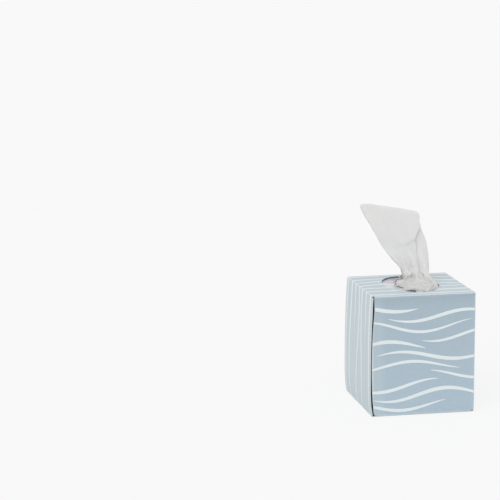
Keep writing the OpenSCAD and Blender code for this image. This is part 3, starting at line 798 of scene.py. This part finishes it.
def pleat(q, v):
    """The pleats' height at a share q of the half width and at row v."""
    main = np.sin(np.radians(MAIN_WAVE[0] * q + MAIN_WAVE[1] * v)) * (1 - MAIN_FADE * q * q)
    return main + MINOR_HEIGHT * np.sin(np.radians(MINOR_WAVE[0] * q + MINOR_WAVE[1] * v))


def tissue_rows_of_points():
    """The sheet's points, row by row, without its fine creases."""
    half_d = clip_high.y / MM
    rows = []
    for v in ROW_PLACES:
        row = row_at(v)
        half, gap, depth, tilt, notch = row[5:]
        along, across = s_curve(half, gap, notch)
        q = along / half
        off = across + depth * pleat(q, v)
        turn, lie = np.radians(row[3:5])
        upright = math.cos(lie)
        lean = np.array([math.sin(turn) * upright, math.cos(turn) * upright, math.sin(lie)])
        side = np.array([math.cos(turn), -math.sin(turn), 0])
        points = row[:3] + np.outer(along, side) + np.outer(off, lean)
        fall = half_d - np.sqrt(np.maximum(1, half_d ** 2 - points[:, 1] ** 2))
        left_corner = LEFT_DROOP * np.abs(q) ** LEFT_DROOP_POWER
        right_corner = RIGHT_DROOP * np.abs(q) ** RIGHT_DROOP_POWER
        corner = np.where(q < 0, left_corner, right_corner)
        droop = abs(tilt) * (LAYER_DROOP * (across / gap + 1) + corner)
        points[:, 2] += tilt * along - droop - fall * math.sin(lie) ** 4
        rows.append(points)
    return np.array(rows)


TINY = 1e-9
FIRST_FOLD = 0.07
FRONT_FADE = 0.8


def sheet_normals(rows):
    across = np.gradient(rows, axis=1)
    along = np.gradient(rows, axis=0)
    normal = np.cross(across, along)
    return normal / np.maximum(np.linalg.norm(normal, axis=2, keepdims=True), TINY)


def from_right(n):
    """For each point across the sheet, 0 at the right folds and 1 at the left, on each layer."""
    return np.abs((np.arange(n) / LAYER_PITCH + FIRST_FOLD) % 2 - 1)


def on_front(n):
    """For each point across the sheet, 1 on the front layer, falling to 0 round its fold."""
    return 1 - ramp(np.arange(n), LAYER_STEPS, LAYER_STEPS + FRONT_FADE * TURN_STEPS)


# The step across the upper sheet, which is the front layer's lower edge, and the front layer's hem.
# STEP_LEFT is the step's left end [x, z]. Pairs are where a ramp starts and ends
STEP_LEFT = (-13.5, 168.5)
STEP_SLOPE = 0.29
STEP_HEIGHT = 0.8
STEP_WAVER = 0.9
STEP_WAVE = 3.4
STEP_ENDS = STEP_LEFT[0] - 7, STEP_LEFT[0] + 8
STEP_EDGE = -2.2, 1.2
STEP_FADE = 16
HEM_CURL = 1.7
HEM_LEVELS = H + 1, H + 8, H + 22, H + 42
HEM_REACH = 1.5, 5.5


def fold_step(rows):
    """The front layer's lower edge, a soft step that slants up to the fold and fades to the left."""
    x, z = rows[:, :, 0], rows[:, :, 2]
    line = STEP_LEFT[1] + (x - STEP_LEFT[0]) * STEP_SLOPE + STEP_WAVER * np.sin(x / STEP_WAVE)
    above = z - line
    height = STEP_HEIGHT * ramp(x, *STEP_ENDS)
    return height * ramp(above, *STEP_EDGE) * np.exp(-np.maximum(above, 0) / STEP_FADE)


def left_hem(rows):
    """How far the front layer's free edge curls forward beside the stem."""
    inward = np.linalg.norm(rows - rows[:, :1], axis=2)
    return HEM_CURL * hump(rows[:, :, 2], *HEM_LEVELS) * (1 - ramp(inward, *HEM_REACH))


def film_height(x, y):
    """The film's upper side, from the slit's lips to the rim, and the distance from the slit."""
    past_straight = np.maximum(np.abs(y) - SLIT_STRAIGHT / MM, 0)
    off_slit = np.hypot(past_straight, x) - SLIT_HALF_W / MM
    share = np.hypot(x * MM / RIM_HALF_W, y * MM / RIM_HALF_L)
    to_rim = np.hypot(x, y) * np.maximum(1 / np.maximum(share, 1e-3) - 1, 0)
    f = np.clip(off_slit, 0, None) / (np.clip(off_slit, 0, None) + to_rim + 1e-6)
    return film_high.z / MM - FILM_DIP / MM * (1 - f) ** DIP_CURVE, off_slit


# The sheet in the slit: the levels between which it is drawn together, the room it keeps off the
# lips, and the least square of the slit's half width that counts at its ends
HELD_LEVELS = LIPS - 2, LIPS - 0.8, LIPS + 1, LIPS + 2
LIP_CLEARANCE = 0.4
LEAST_SQUARE = 0.6


def threaded(rows):
    """Draws the sheet together where it passes through the slit."""
    x, y, z = rows[:, :, 0], rows[:, :, 1], rows[:, :, 2]
    past_straight = np.maximum(np.abs(y) - SLIT_STRAIGHT / MM, 0)
    square = (SLIT_HALF_W / MM) ** 2 - past_straight ** 2
    room = np.sqrt(np.maximum(square, LEAST_SQUARE)) - LIP_CLEARANCE
    held = hump(z, *HELD_LEVELS) * (ROW_PLACES[:, None] > RISING_ROW)
    rows[:, :, 0] = x + held * (room * np.tanh(x / room) - x)
    return rows


# The puffs of paper over the film: how far they swell, which way, between which levels, and how
# that changes across the sheet
PUFF = 14
PUFF_WAY = np.array([-0.68, -0.73, 0])
PUFF_LEVELS = LIPS + 0.3, LIPS + 1.3, LIPS + 1.4, H + 10
EDGE_PUFF = 0.4
PUFF_GROWTH = 0, 0.5
PUFF_DECAY = 0.6, 1.05
RIGHT_PUFF = 9
RIGHT_PUFF_WAY = np.array([0.95, 0.15, 0])
RIGHT_PUFF_LEVELS = LIPS + 0.3, LIPS + 1.3, LIPS + 1.4, H + 6
RIGHT_PUFF_DECAY = 0.05, 0.5


def puffed(rows):
    """Swells the sheet over the film beside the slit: its front layer leftwards, its folds right."""
    z = rows[:, :, 2]
    n = rows.shape[1]
    run = np.arange(n) / LAYER_STEPS
    growth = EDGE_PUFF + (1 - EDGE_PUFF) * ramp(run, *PUFF_GROWTH)
    front = PUFF * growth * (1 - ramp(run, *PUFF_DECAY))
    right = RIGHT_PUFF * (1 - ramp(from_right(n), *RIGHT_PUFF_DECAY))
    left_swell = hump(z, *PUFF_LEVELS) * front[None, :]
    right_swell = hump(z, *RIGHT_PUFF_LEVELS) * right[None, :]
    return rows + left_swell[:, :, None] * PUFF_WAY + right_swell[:, :, None] * RIGHT_PUFF_WAY


PRESSED = 0.85
PRESSED_OFF_SLIT = 1.5, 8
PRESSED_HEIGHTS = 1.5, 7


def flattened(rows):
    """Presses the gathers down towards the film, more so the further they lie from the slit."""
    low, off_slit = film_height(rows[:, :, 0], rows[:, :, 1])
    z = rows[:, :, 2]
    height = z - low
    pressed = PRESSED * ramp(off_slit, *PRESSED_OFF_SLIT) * (1 - ramp(height, *PRESSED_HEIGHTS))
    above = (height > 0) & (ROW_PLACES[:, None] > SLIT_ROW)
    rows[:, :, 2] = np.where(above, low + height * (1 - pressed), z)
    return rows


# The sheet on the film: how far off the slit and above the lips this counts, where across the sheet
# the touching layer ends on the left and starts on the right, and how high the layers rest
REST_OFF_SLIT = 0.3
REST_ABOVE_LIPS = 0.2
LEFT_LAYER_END = 1.08
RIGHT_LAYER_START = 2.2
TOUCHING_HEIGHT = 0.15
OTHER_HEIGHT = 0.5


def rested(rows):
    """Keeps the sheet above the film, with the layer that touches it lowest."""
    x, z = rows[:, :, 0], rows[:, :, 2]
    run = np.arange(rows.shape[1])[None, :] / LAYER_STEPS
    low, off_slit = film_height(x, rows[:, :, 1])
    touching = np.where(x < 0, run < LEFT_LAYER_END, run > RIGHT_LAYER_START)
    lowest = low + np.where(touching, TOUCHING_HEIGHT, OTHER_HEIGHT)
    over_film = (off_slit > REST_OFF_SLIT) & (z > LIPS + REST_ABOVE_LIPS)
    outside = over_film & (ROW_PLACES[:, None] > SLIT_ROW)
    rows[:, :, 2] = np.where(outside, np.maximum(z, lowest), z)
    return rows


# Creases: each noise's features across the sheet, features to a row and place in the noise, then
# the crumples' sizes and heights, where each kind of crease is, and how deep it is
FINE_NOISE = 17, 0.8, 3.1
SLOW_NOISE = 3.6, 0.45, 9.4
PLEAT_NOISE = 9, 0.9, 5.7
LARGE_CRUMPLE = 0.105
LARGE_CRUMPLE_RISE = 2.6
SMALL_CRUMPLE = 0.24
SMALL_CRUMPLE_RISE = 0.6
CRUMPLE_LEVEL = 0.6
PLEAT_LEVEL = 0.4
GATHER_LEVELS = LIPS - 2, LIPS + 4, H + 12, H + 40
UPPER_LEVELS = H + 12, H + 45
BASE_LEVELS = LIPS + 1, H + 2, H + 9, H + 18
FINE_DEPTH = 0.6
SLOW_DEPTH = 0.7
CRUMPLE_DEPTH = 1.1
PLEAT_DEPTH = 1.1


def sheet_noise(place, row, across, along, seed):
    return noise.noise((place * across, row * along, seed))


def crumple_height(point):
    large = LARGE_CRUMPLE_RISE * abs(noise.noise(point * LARGE_CRUMPLE))
    return large + SMALL_CRUMPLE_RISE * abs(noise.noise(point * SMALL_CRUMPLE)) - CRUMPLE_LEVEL


def creased(rows):
    """Adds the step, the curled edge, the gathers at the slit and the creases of soft paper."""
    m, n = rows.shape[:2]
    normal = sheet_normals(rows)
    z = rows[:, :, 2]
    places = from_right(n)
    fine = np.zeros((m, n))
    slow = np.zeros((m, n))
    crumple = np.zeros((m, n))
    pleats = np.zeros((m, n))
    for i, row in enumerate(ROW_PLACES):
        for j, place in enumerate(places):
            fine[i, j] = sheet_noise(place, row, *FINE_NOISE)
            slow[i, j] = sheet_noise(place, row, *SLOW_NOISE)
            crumple[i, j] = crumple_height(Vector(rows[i, j]))
            pleats[i, j] = 1 - 2 * abs(sheet_noise(place, row, *PLEAT_NOISE))
    creases = FINE_DEPTH * hump(z, *GATHER_LEVELS) * fine + SLOW_DEPTH * ramp(z, *UPPER_LEVELS) * slow
    folds = CRUMPLE_DEPTH * crumple + PLEAT_DEPTH * (pleats ** 2 - PLEAT_LEVEL)
    move = creases + hump(z, *BASE_LEVELS) * folds
    forward = -np.sign(normal[:, :, 1:2]) * normal
    front = on_front(n)[None, :] * (fold_step(rows) + left_hem(rows))
    return rows + normal * move[:, :, None] + forward * front[:, :, None]


# Painted shade on the tissue: the levels over which it darkens towards the slit, and the back layer's
# strip
DEEP_LEVELS = H - 2, H + 32
BACK_LAYER = 1.9, 2.05
BACK_PAINTED_SHADE = 0.3
BACK_LEVELS = H + 45, H + 62


def painted_gather_shade(rows):
    """Painted shade on the tissue: how far down in the gathers a point is, from 0 on the upper sheet
    to 1 at the slit. The back layer, where it shows as a strip, gets a little painted shade too."""
    z = rows[:, :, 2]
    low = 1 - ramp(z, *DEEP_LEVELS)
    back_layer = ramp(np.arange(rows.shape[1]) / LAYER_PITCH, *BACK_LAYER)[None, :]
    strip = BACK_PAINTED_SHADE * back_layer * (1 - ramp(z, *BACK_LEVELS))
    return np.maximum(low, strip)


def close_ends(mesh, m, n):
    """Joins the front and the back of a sheet of m loops of n points, at its first and last row."""
    bm = bmesh.new()
    bm.from_mesh(mesh)
    bm.verts.ensure_lookup_table()
    for start in (0, (m - 1) * n):
        for j in range(n // 2 - 1):
            corners = [start + k for k in (j, j + 1, n - 2 - j, n - 1 - j)]
            bm.faces.new([bm.verts[k] for k in corners])
    bmesh.ops.recalc_face_normals(bm, faces=bm.faces)
    bm.to_mesh(mesh)
    bm.free()


def make_tissue():
    rows = rested(puffed(threaded(tissue_rows_of_points())))
    rows = rested(flattened(creased(rows)))
    depth = painted_gather_shade(rows)
    normal = sheet_normals(rows)
    front = rows + normal * SHEET_T / 2
    back = rows - normal * SHEET_T / 2
    loops = np.concatenate([front, back[:, ::-1]], 1) * MM
    mesh = grid_mesh("drawn_sheet", loops, closed_across=True)
    close_ends(mesh, *loops.shape[:2])
    soften_mesh(mesh)
    # The painted shade of the gathers, on both faces of the sheet
    set_attribute(mesh, "depth", np.concatenate([depth, depth[:, ::-1]], 1).ravel())
    shade_smooth(mesh, sharp_degrees=75)
    sheet = link("drawn_sheet", mesh)
    mesh.materials.append(tissue_material("drawn_tissue", seen_through=0.2))
    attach(sheet, "root")
    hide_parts("drawn_tissue")


# Stage, light and camera, in metres and degrees

WHITE = (1, 1, 1, 1)
SKY_LEVEL = 0.68
SUN_LEVEL = 1.1
SUN_ANGLE = 50
SUN_FROM = Vector((-0.45, -0.62, 0.64))
FLOOR_REACH = 40
FLOOR_GREY = (0.8, 0.8, 0.8, 1)
FLOOR_GLOW = 0.8


def seen_share(nodes, links):
    """1 for rays that the camera, a reflection or glass sees, and 0 for light."""
    path = nodes.new("ShaderNodeLightPath")
    total = path.outputs["Is Camera Ray"]
    for name in ("Is Glossy Ray", "Is Transmission Ray"):
        add = nodes.new("ShaderNodeMath")
        add.operation = "MAXIMUM"
        links.new(total, add.inputs[0])
        links.new(path.outputs[name], add.inputs[1])
        total = add.outputs[0]
    return total


def mix_shaders(nodes, links, share, first, second, output):
    """Sends a mix of two shaders to the output."""
    mix = nodes.new("ShaderNodeMixShader")
    links.new(share, mix.inputs[0])
    links.new(first.outputs[0], mix.inputs[1])
    links.new(second.outputs[0], mix.inputs[2])
    links.new(mix.outputs[0], nodes[output].inputs["Surface"])


def make_light():
    """A soft sun, and a sky that is white to the camera and dimmer as a light."""
    world = bpy.data.worlds.new("studio")
    scene.world = world
    world.use_nodes = True
    nodes, links = world.node_tree.nodes, world.node_tree.links
    light = nodes["Background"]
    light.inputs["Color"].default_value = WHITE
    light.inputs["Strength"].default_value = SKY_LEVEL
    seen = nodes.new("ShaderNodeBackground")
    seen.inputs["Color"].default_value = WHITE
    seen.inputs["Strength"].default_value = 1
    mix_shaders(nodes, links, seen_share(nodes, links), light, seen, "World Output")
    sun = bpy.data.lights.new("soft_sun", "SUN")
    sun.energy = SUN_LEVEL
    sun.angle = math.radians(SUN_ANGLE)
    lamp = bpy.data.objects.new("soft_sun", sun)
    lamp.rotation_euler = SUN_FROM.to_track_quat("Z", "Y").to_euler()
    scene.collection.objects.link(lamp)


def make_floor():
    """A pale table. The camera sees it lighter than it lights the box, with the shadow kept."""
    corners = [(x * FLOOR_REACH, y * FLOOR_REACH, 0) for x, y in ((-1, -1), (1, -1), (1, 1), (-1, 1))]
    mesh = bpy.data.meshes.new("floor")
    mesh.from_pydata(corners, [], [(0, 1, 2, 3)])
    floor = link("floor", mesh)
    material = bpy.data.materials.new("floor")
    material.use_nodes = True
    nodes, links = material.node_tree.nodes, material.node_tree.links
    nodes.remove(nodes["Principled BSDF"])
    lit = nodes.new("ShaderNodeBsdfDiffuse")
    lit.inputs["Color"].default_value = FLOOR_GREY
    pale = nodes.new("ShaderNodeEmission")
    pale.inputs["Color"].default_value = WHITE
    pale.inputs["Strength"].default_value = 1
    share = nodes.new("ShaderNodeMath")
    share.operation = "MULTIPLY"
    share.inputs[1].default_value = FLOOR_GLOW
    links.new(seen_share(nodes, links), share.inputs[0])
    mix_shaders(nodes, links, share.outputs[0], lit, pale, "Material Output")
    mesh.materials.append(material)


# The camera, as fitted to the photograph: its angles, its distance from AIM and how far it is moved
# to the right and up, then the sensor, the focal length and the picture's width in pixels, and the
# nearest and furthest that it sees
AZIMUTH = -10.9
ELEVATION = 10.42
ROLL = -0.25
DISTANCE = 2.061
MOVED_RIGHT = -0.1687
MOVED_UP = 0.1027
AIM = Vector((0, 0, 0.06))
SENSOR_W = 36
FOCAL_PIXELS = 1944
PICTURE_PIXELS = 500
NEAREST_SEEN = 0.1
FURTHEST_SEEN = 100


def make_camera():
    """The photograph's view, from the front, a little to the left and above."""
    azimuth, elevation, roll = (math.radians(a) for a in (AZIMUTH, ELEVATION, ROLL))
    back = Vector((math.sin(azimuth) * math.cos(elevation),
                   -math.cos(azimuth) * math.cos(elevation), math.sin(elevation)))
    right = Vector((math.cos(azimuth), math.sin(azimuth), 0))
    up = back.cross(right)
    data = bpy.data.cameras.new("camera")
    data.sensor_width = SENSOR_W
    data.lens = SENSOR_W * FOCAL_PIXELS / PICTURE_PIXELS
    data.clip_start = NEAREST_SEEN
    data.clip_end = FURTHEST_SEEN
    camera = bpy.data.objects.new("camera", data)
    turned = Matrix.Rotation(roll, 3, back) @ Matrix((right, up, back)).transposed()
    camera.matrix_world = turned.to_4x4()
    camera.location = AIM + back * DISTANCE + right * MOVED_RIGHT + up * MOVED_UP
    scene.collection.objects.link(camera)
    scene.camera = camera


make_camera()
make_light()
make_floor()
make_board()
make_print()
make_film()
finish_glue()
make_clip()
make_tissue()

scene.view_settings.view_transform = "Standard"
